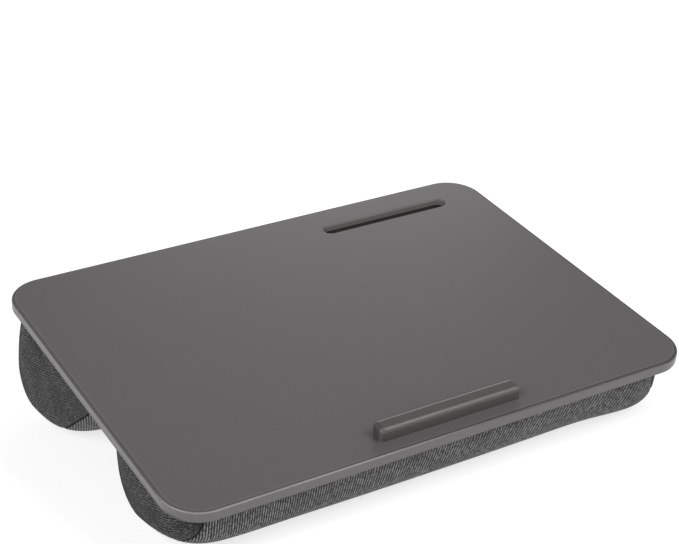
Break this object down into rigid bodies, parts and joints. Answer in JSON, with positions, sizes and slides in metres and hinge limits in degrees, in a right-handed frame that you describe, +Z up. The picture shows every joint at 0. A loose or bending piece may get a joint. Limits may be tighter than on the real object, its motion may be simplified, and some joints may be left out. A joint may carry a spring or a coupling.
{
  "type": "lap tray with cushion",
  "caption": "Lap tray: a flat round-cornered board with a device ledge and a phone slot, tilted by a low front bolster and a tall rear bolster of twill sewn under it.",
  "frame": {"origin": "on the table, under the middle of the bounding box", "axes": "+X to the right along the board's width, +Y to the back of the tray, +Z up; the board slopes down to the front"},
  "size_m": [0.452, 0.3426, 0.1181],
  "materials": {
    "twill": "dark grey heathered twill",
    "backing_cloth": "plain black non-woven cloth",
    "fill": "loose white fibre and beads",
    "thread": "black sewing thread",
    "fibreboard": "raw fibreboard",
    "board_skin": "satin grey film",
    "ledge": "satin grey moulding",
    "steel": "zinc plated"
  },
  "bodies": {
    "root": {"backing_staples": "steel", "board_skin": "board_skin", "cushion_backing": "backing_cloth", "device_ledge": "ledge", "front_bolster_fill": "fill", "front_bolster_left_end": "twill", "front_bolster_right_end": "twill", "front_bolster_wrap": "twill", "front_seam_threads": "thread", "ledge_screws": "steel", "rear_bolster_fill": "fill", "rear_bolster_left_end": "twill", "rear_bolster_right_end": "twill", "rear_bolster_wrap": "twill", "rear_seam_threads": "thread", "top_board": "fibreboard", "valley_panel": "twill", "valley_seam_threads": "thread"}
  },
  "joints": []
}
